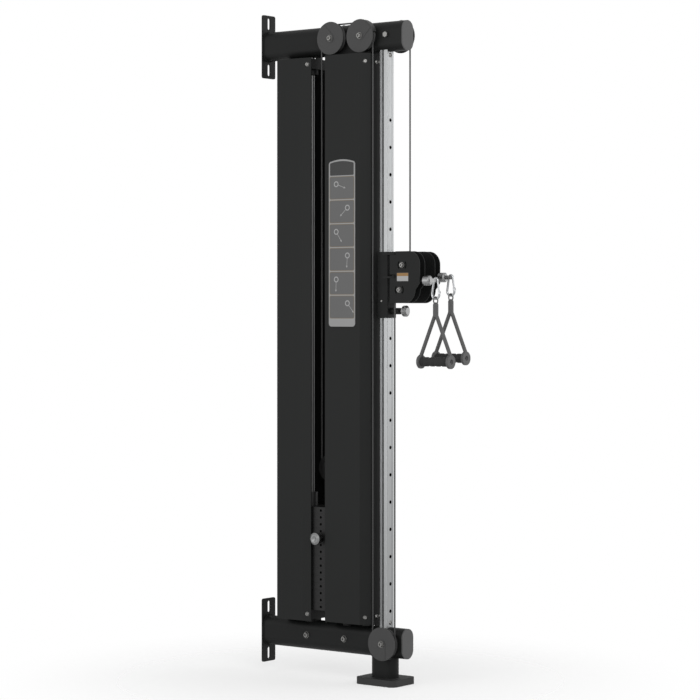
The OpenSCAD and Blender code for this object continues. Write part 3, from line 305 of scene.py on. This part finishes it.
class Repeat:
    """A Geometry Nodes tree with named sizes, run once and kept as a plain mesh."""

    def __init__(self, name, **sizes):
        self.tree = bpy.data.node_groups.new(name, "GeometryNodeTree")
        sockets = self.tree.interface
        sockets.new_socket("Geometry", in_out="INPUT", socket_type="NodeSocketGeometry")
        self.sizes = []
        for key, value in sizes.items():
            made = sockets.new_socket(key, in_out="INPUT", socket_type=SOCKETS[type(value)])
            self.sizes.append((made.identifier, value))
        sockets.new_socket("Geometry", in_out="OUTPUT", socket_type="NodeSocketGeometry")
        self.given = self.tree.nodes.new("NodeGroupInput").outputs
        self.result = self.tree.nodes.new("NodeGroupOutput").inputs[0]

    def node(self, kind, settings, inputs, out=0):
        made = self.tree.nodes.new(kind)
        for key, value in settings.items():
            setattr(made, key, value)
        for key, value in inputs.items():
            if isinstance(value, bpy.types.NodeSocket):
                self.tree.links.new(value, made.inputs[key])
            else:
                made.inputs[key].default_value = value
        return made.outputs[out]

    def finish(self, base, shapes, material):
        """Realizes the instances, sets the material, and returns base as a plain mesh."""
        real = self.node("GeometryNodeRealizeInstances", {}, {"Geometry": shapes})
        smooth = self.node("GeometryNodeSetShadeSmooth", {}, {"Geometry": real})
        done = self.node("GeometryNodeSetMaterial", {}, {"Geometry": smooth, "Material": material})
        self.tree.links.new(done, self.result)
        modifier = base.modifiers.new("repeat", "NODES")
        modifier.node_group = self.tree
        for identifier, value in self.sizes:
            modifier[identifier] = value
        return plain(base)


def plain(base):
    """The object with its modifiers made real."""
    bpy.context.view_layer.update()
    shown = base.evaluated_get(bpy.context.evaluated_depsgraph_get())
    mesh = bpy.data.meshes.new_from_object(shown)
    base.modifiers.clear()
    base.data = mesh
    return base


def loop(name, points):
    """A closed line, as a mesh of edges."""
    mesh = bpy.data.meshes.new(name)
    n = len(points)
    mesh.from_pydata(points, [(i, (i + 1) % n) for i in range(n)], [])
    return add_object(name, mesh)


def weld(name, points):
    """Overlapping ripples along a closed line, each a flat drop square to it."""
    size, lap, least, most = 0.0032, 0.55, 0.86, 1.08
    base = loop(name, points)
    tree = Repeat(name, Size=size, Step=size * lap, Flatness=(1.0, 1.0, 0.5))
    line = tree.node("GeometryNodeMeshToCurve", {}, {"Mesh": tree.given["Geometry"]})
    even = tree.node("GeometryNodeResampleCurve", {"mode": "LENGTH"},
                     {"Curve": line, "Length": tree.given["Step"]})
    drop = tree.node("GeometryNodeMeshIcoSphere", {}, {"Radius": tree.given["Size"], "Subdivisions": 2})
    along = tree.node("GeometryNodeInputTangent", {}, {})
    turn = tree.node("FunctionNodeAlignRotationToVector", {"axis": "Z"}, {"Vector": along})
    vary = tree.node("FunctionNodeRandomValue", {"data_type": "FLOAT"}, {2: least, 3: most, "Seed": 4}, 1)
    wide = tree.node("ShaderNodeVectorMath", {"operation": "SCALE"},
                     {0: tree.given["Flatness"], "Scale": vary})
    drops = tree.node("GeometryNodeInstanceOnPoints", {},
                      {"Points": even, "Instance": drop, "Rotation": turn, "Scale": wide})
    bead = tree.finish(base, drops, frame_paint)
    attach(bead, "frame")


def half_turn(steps):
    return [math.pi * i / steps for i in range(steps + 1)]


def oval_loop(y, rise, w, h, steps=30):
    """A beam's outline, h high and w wide, on a wall plate."""
    r, flat = w / 2, (h - w) / 2
    return ([(r * math.cos(t), y, rise + flat + r * math.sin(t)) for t in half_turn(steps)]
            + [(-r * math.cos(t), y, rise - flat - r * math.sin(t)) for t in half_turn(steps)])


def saddle_loop(middle, w, d, beam_w, beam_h, steps=40):
    """The flat-oval foot post's outline, laid against the round underside of the beam."""
    r, flat, drop = w / 2, (d - w) / 2, (beam_h - beam_w) / 2
    ends = ([(r * math.cos(t), middle + flat + r * math.sin(t)) for t in half_turn(steps)]
            + [(-r * math.cos(t), middle - flat - r * math.sin(t)) for t in half_turn(steps)])
    return [(x, y, -drop - math.sqrt((beam_w / 2) ** 2 - x * x)) for x, y in ends]


# The lower beam's middle is at height 0, so its top gives half of its height. The post
# stands over the pad's middle.
beam_high, post_high = box("lower_beam")[1], box("foot_post")[1]
pad_low, pad_high = box("foot_pad")
beam_w, beam_h = 2 * beam_high[0], 2 * beam_high[2]
beam_rise = box("upper_beam")[0][2] + beam_h / 2
post_y = (pad_low[1] + pad_high[1]) / 2
post_w, post_d = 2 * post_high[0], 2 * (post_high[1] - post_y)
bead_out = 0.0005
bead_y = box("wall_plates")[0][1] - bead_out
weld("lower_plate_weld", oval_loop(bead_y, 0.0, beam_w, beam_h))
weld("upper_plate_weld", oval_loop(bead_y, beam_rise, beam_w, beam_h))
weld("foot_weld", saddle_loop(post_y, post_w, post_d, beam_w, beam_h))


# End caps and foot pad
# Moulded plastic caps close the beams' front ends. The foot stands on a moulded rubber
# pad, whose top is painted darker as painted shade.
def plastic(name, level, rough, tint=(1, 1, 1), grain=900, depth=0.00005, shine=0.4):
    """Moulded plastic or rubber with a fine grain. Prints and the handles' paint use it too."""
    made = Finish(name, Specular_IOR_Level=shine)
    cloud = made.noise(9, detail=3)
    pits = made.noise(grain, detail=2)
    made.colour(made.mix(cloud, grey(level - 3, tint), grey(level + 3, tint)))
    made.roughness(rough + 0.08 * cloud + 0.06 * pits)
    made.bump(pits, depth)
    return made.material


def foot_finish(pad_top):
    """Rubber up to the pad's upper edge, and painted shade on the top above it."""
    made = Finish("foot_rubber", Specular_IOR_Level=0.2)
    cloud = made.noise(9, detail=3)
    pits = made.noise(1500, detail=2)
    # The top face is painted a dark grey, darker than the rubber sides: painted shade.
    top = made.spread(made.along("Z"), pad_top - 0.0012, pad_top - 0.0004)
    made.colour(made.mix(top, made.mix(cloud, grey(47), grey(54)), grey(28)))
    made.roughness(0.62 + 0.08 * cloud + 0.06 * pits)
    made.bump(pits, 0.00015)
    return made.material


dress(plastic("end_cap_plastic", 75, 0.55), "beam_end_caps")
dress(foot_finish(pad_high[2]), "foot_pad")


# Spigots, screws and axles
# Steel with a dull zinc coat: the spigots that the column slides over, the shrouds'
# button-head screws, and the bolts that the pulleys turn on.
def metal(name, level, rough, grain, depth, tint=(1, 1, 1), stretch=(1, 1, 1)):
    """Bare metal, whose grain runs where stretch is small."""
    made = Finish(name, Metallic=1.0)
    streak = made.noise(grain, stretch, detail=4, rough=0.6)
    cloud = made.noise(6, detail=3)
    made.colour(made.mix(0.5 * streak + 0.5 * cloud, grey(level - 12, tint), grey(level + 10, tint)))
    made.roughness(rough + 0.14 * streak)
    made.bump(streak, depth, 0.4)
    return made.material


zinc = metal("zinc_steel", 122, 0.34, 900, 0.0001, (1.0, 0.99, 0.96))
dress(zinc, "column_spigots", "frame_screws", "pulley_axles")


# Column
# A tube of extruded, anodised aluminium with a row of adjustment holes. Painted shade
# darkens its side grooves and inside, and a thin black ring of painted shade lines each hole.
def extrusion(half_w, front, back):
    """Streaks along the length, and painted shade in the side grooves and inside the tube."""
    tint = (0.98, 1, 1.01)
    edge, shade_in, shade_back, shade_half = 0.0004, 0.0034, 0.0155, 0.0037
    side_wall, front_wall, back_wall = 0.0035, 0.0012, 0.0034
    made = Finish("extruded_aluminium", Metallic=1.0)
    streak = made.noise(420, (1, 1, 0.012), detail=4, rough=0.6)
    band = made.noise(55, (1, 1, 0.0005), detail=2)
    bright = made.mix(0.6 * streak + 0.4 * band, grey(134, tint), grey(163, tint))
    width, depth = made.along("X").sum("ABSOLUTE"), made.along("Y")
    # Painted shade: a dark grey in the side grooves and a near black inside the tube.
    shade_y = back - shade_back
    groove_shade = (width.between(half_w - shade_in, half_w - edge)
              * depth.between(shade_y - shade_half, shade_y + shade_half))
    hollow_shade = (width.sum("LESS_THAN", half_w - side_wall)
              * depth.between(front + front_wall, back - back_wall))
    made.colour(made.mix(hollow_shade, made.mix(groove_shade, bright, grey(62)), grey(30)))
    made.roughness(0.3 + 0.14 * streak)
    made.bump(streak, 0.00002, 0.4)
    return made.material


def row_of_rings(name, start, step, count, radius, wire, material):
    """Rings that face the front, in a straight row."""
    tree = Repeat(name, Start=start, Step=step, Count=count, Radius=radius, Wire=wire)
    spots = tree.node("GeometryNodeMeshLine", {"mode": "OFFSET"},
                      {"Count": tree.given["Count"], "Start Location": tree.given["Start"],
                       "Offset": tree.given["Step"]})
    round_line = tree.node("GeometryNodeCurvePrimitiveCircle", {},
                           {"Resolution": 32, "Radius": tree.given["Radius"]})
    section = tree.node("GeometryNodeCurvePrimitiveCircle", {},
                        {"Resolution": 8, "Radius": tree.given["Wire"]})
    ring = tree.node("GeometryNodeCurveToMesh", {}, {"Curve": round_line, "Profile Curve": section})
    rings = tree.node("GeometryNodeInstanceOnPoints", {},
                      {"Points": spots, "Instance": ring, "Rotation": (math.radians(90), 0, 0)})
    return tree.finish(loop(name, []), rings, material)


(_, column_front, _), (column_half, column_back, _) = box("column")
dress(extrusion(column_half, column_front, column_back), "column")
black_plastic = plastic("black_plastic", 26, 0.42)
first_hole, hole_pitch, hole_count = 0.114, 0.1, 19
# A thin black ring just inside each hole's edge is painted shade that darkens the hole.
shade_ring_r, shade_ring_wire, shade_ring_in = 0.0063, 0.0004, 0.0008
hole_shade_rings = row_of_rings("column_hole_shade_rings", (0.0, column_front + shade_ring_in, first_hole), (0.0, 0.0, hole_pitch),
                    hole_count, shade_ring_r, shade_ring_wire, black_plastic)
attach(hole_shade_rings, "frame")


# Shrouds
# Two folded steel sheets, one behind the weight stack and one in front of it, screwed to
# the brackets. Their paint is a shade paler than the frame's.
dress(paint("shroud_paint", 29, gloss=0.46), "rear_shroud", "front_shroud")


# Placard
# A rimmed plate with an arched head on the front shroud's near side. Under a dark header
# are six framed panels, each with a plain drawing of a pulley and a line of pull.
def film(name, level, rough=0.4, tint=(1, 1, 1)):
    """A smooth printed colour."""
    return plastic(name, level, rough, tint, grain=300, depth=0.00001)


class Print:
    """Flat shapes one over another on a face that looks along -X, as one mesh."""

    def __init__(self, face_x):
        self.face_x = face_x
        self.points, self.faces, self.slots = [], [], []

    def sheet(self, shape, slot, lift, back):
        """A shape of (y, z) pairs, lift out from the face, with its edge going in to back."""
        first, n = len(self.points), len(shape)
        for out in (lift, back):
            self.points.extend((self.face_x - out, y, z) for y, z in shape)
        self.faces.append(tuple(range(first, first + n)))
        self.faces.extend((first + (i + 1) % n, first + i, first + n + i, first + n + (i + 1) % n)
                          for i in range(n))
        self.slots.extend([slot] * (n + 1))

    def finish(self, name, films, body):
        made = add_mesh(name, self.points, self.faces, films, self.slots, smooth=False)
        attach(made, body)
        return made


def outline(half_w, low, high, radius, arch, steps=8, arch_steps=12):
    """A rounded plate with an arched top edge, as (across, up) pairs."""

    def corner(cx, cz, start):
        turns = [math.radians(start + 90 * i / steps) for i in range(steps + 1)]
        return [(cx + radius * math.cos(t), cz + radius * math.sin(t)) for t in turns]

    side = half_w - radius
    top = [side * (1 - 2 * i / arch_steps) for i in range(1, arch_steps)]
    return (corner(side, low + radius, -90) + corner(side, high - radius, 0)
            + [(x, high + arch * (1 - (x / side) ** 2)) for x in top]
            + corner(-side, high - radius, 90) + corner(-side, low + radius, 180))


def disc(centre, radius, sides=20):
    return [(centre[0] + radius * math.cos(t), centre[1] + radius * math.sin(t)) for t in around(sides)]


def make_placard():
    RIM, BLACK, PANEL, BROWN, LINE = range(5)
    films = [film("placard_rim", 138, 0.35), film("placard_black", 12, 0.3), film("placard_grey", 84),
             film("placard_brown", 100, tint=(1.15, 0.85, 0.48)), film("placard_line", 150)]
    (outer_x, front, low), (face_x, rear, _) = box("placard")
    middle, half_w, thick = (front + rear) / 2, (rear - front) / 2, face_x - outer_x
    side_h, corner_r, arch, rim_w, header_h = 0.609, 0.012, 0.007, 0.006, 0.046
    high = low + side_h
    plate = Print(face_x)

    def lay(shape, slot, lift, back):
        plate.sheet([(middle - across, up) for across, up in shape], slot, lift, back)

    def printed(shape, slot, over, under, ink=0.0001):
        """A shape on the plate, from one number of layers of ink to another."""
        lay(shape, slot, thick + over * ink, thick + under * ink)

    lay(outline(half_w, low, high, corner_r, arch), RIM, thick, 0.0)
    header_high, header_r, header_arch = high - rim_w, 0.004, 0.0065
    printed(outline(half_w - rim_w, header_high - header_h, header_high, header_r, header_arch),
            BLACK, 2, 0)
    count, header_room, foot_room, gap, frame_w = 6, 0.056, 0.026, 0.004, 0.0018
    wheel_r, hub_r, wheel_side, wheel_up = 0.011, 0.007, 0.026, 0.014
    pull_l, pull_half, arrow_l, arrow_half = 0.038, 0.001, 0.008, 0.004
    panel_half, panel_r, inner_r = half_w - gap, 0.006, 0.005
    pitch = (side_h - header_room - foot_room) / count
    for i in range(count):
        panel_high = high - header_room - i * pitch
        panel_low = panel_high - pitch + gap
        printed(outline(panel_half, panel_low, panel_high, panel_r, 0), BROWN, 2, 0)
        printed(outline(panel_half - frame_w, panel_low + frame_w, panel_high - frame_w, inner_r, 0),
                PANEL, 4, 2)
        # The drawings change sides from panel to panel, and each pull has its own slant.
        right = i % 2
        centre = (wheel_side if right else -wheel_side, (panel_high + panel_low) / 2 + wheel_up)
        printed(disc(centre, wheel_r), LINE, 5, 4)
        printed(disc(centre, hub_r), PANEL, 6, 5)
        lean = math.radians(200 + 22 * i if right else -20 - 18 * i)
        ahead = Vector((math.cos(lean), math.sin(lean)))
        across = Vector((-ahead.y, ahead.x))
        start, end = (Vector(centre) + ahead * reach for reach in (wheel_r, pull_l))
        half = across * pull_half
        printed([start - half, end - half, end + half, start + half], LINE, 5, 4)
        half = across * arrow_half
        printed([end - half, end + ahead * arrow_l, end + half], LINE, 5, 4)
    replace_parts(plate.finish("placard_plate", films, "frame"), "placard")


make_placard()

# Guide rods
# Two steel rods that the stack slides on, with a rubber bumper round the foot of each.
# The grain of the steel runs along the rods.
dress(metal("rod_steel", 92, 0.3, 300, 0.00002, stretch=(1, 1, 0.02)), "guide_rods")
dress(plastic("bumper_rubber", 26, 0.72, grain=1500, depth=0.00015, shine=0.25), "stack_bumpers")


# Weight stack
# Machined and painted steel plates under a head plate, whose plastic bushings run on the
# rods. A steel pin with a round knob picks the plates that the stem lifts.
def stack_paint():
    """Dark paint over faint cutter marks along each plate."""
    made = Finish("weight_paint", Specular_IOR_Level=0.25)
    marks = made.noise(180, (1, 0.12, 1), detail=3)
    cloud = made.noise(7, detail=4)
    made.colour(made.mix(cloud, grey(20), grey(25)))
    made.roughness(0.42 + 0.16 * marks)
    made.bump(marks, 0.00012)
    return made.material


knob_steel = metal("knob_steel", 128, 0.26, 500, 0.00004, (0.99, 1.0, 1.0))
dress(stack_paint(), "resting_plates", "head_plate", "lifted_plates")
dress(black_plastic, "guide_bushings")
dress(zinc, "selector_stem", "yoke_bolt")
dress(frame_paint, "pulley_yoke")
dress(knob_steel, "selector_pin")

# Pulleys
# Grooved nylon wheels on the beams' bolts and in the yoke. Moulded plastic covers keep
# the cable in the grooves of the wheels on the beams.
nylon = plastic("nylon", 34, 0.38, grain=240, depth=0.00003)
dress(nylon, "near_rear_pulley", "near_front_pulley", "bottom_pulley", "far_rear_pulley",
      "far_front_pulley", "floating_pulley")
dress(plastic("cover_plastic", 49, 0.5), "pulley_covers")


# Carriage
# A painted steel sleeve that slides on the column on plastic pads. A spring pin with a
# steel knob locks it in a hole, and a zinc-coated grease fitting is on its near side.
def close_rings(faces, rings, sides):
    """Adds the walls between rings of points, and a cap at each end."""
    for i in range(rings - 1):
        for k in range(sides):
            a, b = i * sides + k, i * sides + (k + 1) % sides
            faces.append((a, b, b + sides, a + sides))
    faces.append(tuple(range(sides))[::-1])
    faces.append(tuple((rings - 1) * sides + k for k in range(sides)))


def turned(name, profile, place, axis, material, sides=32):
    """A solid of revolution from (radius, along) pairs, turned about axis at place."""
    axis = Vector(axis).normalized()
    one = axis.orthogonal().normalized()
    two = axis.cross(one)
    points, faces = [], []
    for radius, along in profile:
        points.extend(Vector(place) + along * axis + radius * (math.cos(t) * one + math.sin(t) * two)
                      for t in around(sides))
    close_rings(faces, len(profile), sides)
    return add_mesh(name, points, faces, [material], smooth=False)


dress(frame_paint, "carriage_sleeve", "pin_barrel")
dress(black_plastic, "glide_pads")
dress(zinc, "pop_spring")
dress(knob_steel, "pop_pin")
base_r, neck_r, bore_r = 0.0042, 0.003, 0.0018
seat, shoulder, lip = -0.001, 0.0012, 0.0022
sleeve_face, fitting_y, fitting_z = -0.0265, -0.562, 1.251
fitting = turned("grease_fitting",
                 [(base_r, seat), (base_r, shoulder), (neck_r, lip), (bore_r, lip), (bore_r, shoulder)],
                 (sleeve_face, fitting_y, fitting_z), (-1, 0, 0), zinc)
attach(fitting, "carriage")

# Swivel blocks
# Two painted steel housings that turn on the sleeve's ears, each with two nylon sheaves
# on zinc-coated bolts.
dress(frame_paint, "near_block", "far_block")
dress(zinc, "near_block_bolts", "far_block_bolts")
dress(nylon, "near_upper_sheave", "near_lower_sheave", "far_upper_sheave", "far_lower_sheave")


# Plate on the near block
# A small blank plate with a dark edge, pale below and amber above, stuck to the block's
# outer side. Its faces stand a fraction of a millimetre proud.
def make_block_plate():
    AMBER, PALE, EDGE = range(3)
    films = [film("plate_amber", 112, tint=(1.5, 0.8, 0.22)), film("plate_pale", 158),
             film("plate_edge", 70)]
    (face_x, _, block_low), (_, block_rear, _) = box("near_block")
    behind, under, length, height, split_up = 0.032, 0.079, 0.052, 0.031, 0.019
    rear, low, edge_w, sink = block_rear - behind, block_low + under, 0.001, 0.00005
    front, high, split = rear - length, low + height, low + split_up
    plate = Print(face_x)

    def slab(y0, y1, z0, z1, lift, slot):
        plate.sheet([(y0, z0), (y1, z0), (y1, z1), (y0, z1)], slot, lift, -sink)

    slab(rear, front, low, high, 0.0003, EDGE)
    slab(rear - edge_w, front + edge_w, low + edge_w, split, 0.0005, PALE)
    slab(rear - edge_w, front + edge_w, split, high - edge_w, 0.0005, AMBER)
    plate.finish("block_plate", films, "near_block")


make_block_plate()


# Cable
# A nylon-coated wire cable over the wheels. Runs that grow or shrink are drawn as straight
# tubes, and the bends between them ride with their wheels.
def jacket():
    """The strands show as a faint twist under the coat."""
    made = Finish("cable_jacket", Specular_IOR_Level=0.35, Coat_Roughness=0.2, Coat_Weight=0.3)
    twist = made.node(
        "ShaderNodeTexWave", {"wave_type": "BANDS", "bands_direction": "DIAGONAL"},
        {"Vector": made.place((1, 1, 0.6)), "Scale": 95.0, "Distortion": 0.0},
    )
    made.colour(made.mix(twist, grey(30), grey(38)))
    made.roughness(0.36 + 0.1 * twist)
    made.bump(twist, 0.0002)
    return made.material


class Wheel:
    """A grooved wheel. The middle of the cable in it lies rim inside the wheel's edge."""

    def __init__(self, name, rim):
        low, high = box(name)
        self.x, self.y, self.z = ((a + b) / 2 for a, b in zip(low, high))
        self.radius = (high[2] - low[2]) / 2 - rim

    def at(self, degrees):
        """The middle of the cable at a turn round the wheel: 0 is forward and 90 is up."""
        turn = math.radians(degrees)
        return (self.x, self.y - self.radius * math.cos(turn), self.z + self.radius * math.sin(turn))

    def bend(self, start, stop, steps=24):
        return [self.at(start + (stop - start) * i / steps) for i in range(steps + 1)]


def tube(name, path, radius, material, sides=16):
    """A closed round tube through path, kept from twisting along a plane path."""
    path = [Vector(p) for p in path]
    points, faces = [], []
    lay = None
    for i, p in enumerate(path):
        along = (path[min(i + 1, len(path) - 1)] - path[max(i - 1, 0)]).normalized()
        if lay is None:
            lay = along.orthogonal().normalized()
        lay = (lay - along * lay.dot(along)).normalized()
        other = along.cross(lay)
        points.extend(p + radius * (math.cos(a) * lay + math.sin(a) * other) for a in around(sides))
    close_rings(faces, len(path), sides)
    return add_mesh(name, points, faces, [material])


cable_r, pulley_rim, sheave_rim = 0.003, 0.006, 0.003
cable_coat = jacket()
dress(cable_coat, "fixed_cables")


def cable_run(name, path, replaced):
    made = tube(name, path, cable_r, cable_coat)
    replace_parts(made, replaced)
    return made


def stretch_run(name, a, b, replaced, steps):
    path = [Vector(a).lerp(Vector(b), i / steps) for i in range(steps + 1)]
    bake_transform(cable_run(name, path, replaced))


def bend_run(name, path, body, replaced):
    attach(cable_run(name, path, replaced), body)


bottom, floating = Wheel("bottom_pulley", pulley_rim), Wheel("floating_pulley", pulley_rim)
near_rear, far_rear = Wheel("near_rear_pulley", pulley_rim), Wheel("far_rear_pulley", pulley_rim)
far_front = Wheel("far_front_pulley", pulley_rim)
near_sheave, far_sheave = Wheel("near_lower_sheave", sheave_rim), Wheel("far_upper_sheave", sheave_rim)
stretch_run("near_column_cable", bottom.at(0), near_sheave.at(180),
            "carriage_cables", steps=90)
stretch_run("far_column_cable", far_front.at(0), far_sheave.at(180),
            "carriage_cables", steps=60)
stretch_run("near_stack_cable", near_rear.at(180), floating.at(180),
            "stack_cables", steps=90)
stretch_run("far_stack_cable", far_rear.at(180), floating.at(0),
            "stack_cables", steps=90)
bend_run("floating_bend", floating.bend(-180, 0, steps=36), "stack", "stack_cables")

# Each pull run ends a little way inside its stop.
into_stop = 0.002
stop_y = box("near_pull_cable")[0][1] - into_stop
near_exit, far_exit = near_sheave.at(90), far_sheave.at(270)
bend_run("near_sheave_bend", near_sheave.bend(180, 90), "near_block", "near_pull_cable")
stretch_run("near_pull_run", near_exit, (near_exit[0], stop_y, near_exit[2]),
            "near_pull_cable", steps=40)
bend_run("far_sheave_bend", far_sheave.bend(180, 270), "far_block", "far_pull_cable")
stretch_run("far_pull_run", far_exit, (far_exit[0], stop_y, far_exit[2]),
            "far_pull_cable", steps=40)

# Cable stops and snap hooks
# A round steel stop with a clevis ends the cable at each block. A bright steel snap hook
# with a gate hangs on the clevis's pin.
dress(metal("stop_steel", 132, 0.3, 700, 0.0002, (0.99, 1.0, 1.0), (1, 0.25, 1)), "near_stop", "far_stop")
dress(metal("chrome", 158, 0.2, 60, 0.000004, (0.98, 1.0, 1.02)),
      "near_hook", "far_hook", "near_gate", "far_gate")


# Handles
# Each handle has a painted metal frame, one smooth piece whose neck, legs and discs flow
# together, and a ribbed rubber grip that turns on its bar.
handle_paint = plastic("handle_metal", 76, 0.5, grain=700)
grip_rubber = plastic("grip_rubber", 46, 0.75, grain=1300, depth=0.00018, shine=0.2)
dress(handle_paint, "near_handle", "far_handle")
dress(grip_rubber, "near_grip", "far_grip")


def make_handle(side):
    """The CAD frame, remeshed and softened so that its parts flow into each other."""
    voxel, passes = ((0.0009, 10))
    made = add_object(side + "_handle_moulding", nodes[side + "_handle"].data.copy())
    merge = made.modifiers.new("merge", "REMESH")
    merge.mode = "VOXEL"
    merge.voxel_size = voxel
    merge.use_smooth_shade = True
    soft = made.modifiers.new("soften", "SMOOTH")
    soft.factor, soft.iterations = 0.5, passes
    plain(made)
    made.data.materials.clear()
    made.data.materials.append(handle_paint)
    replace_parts(made, side + "_handle")
    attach(made, side + "_handle")


make_handle("near")
make_handle("far")
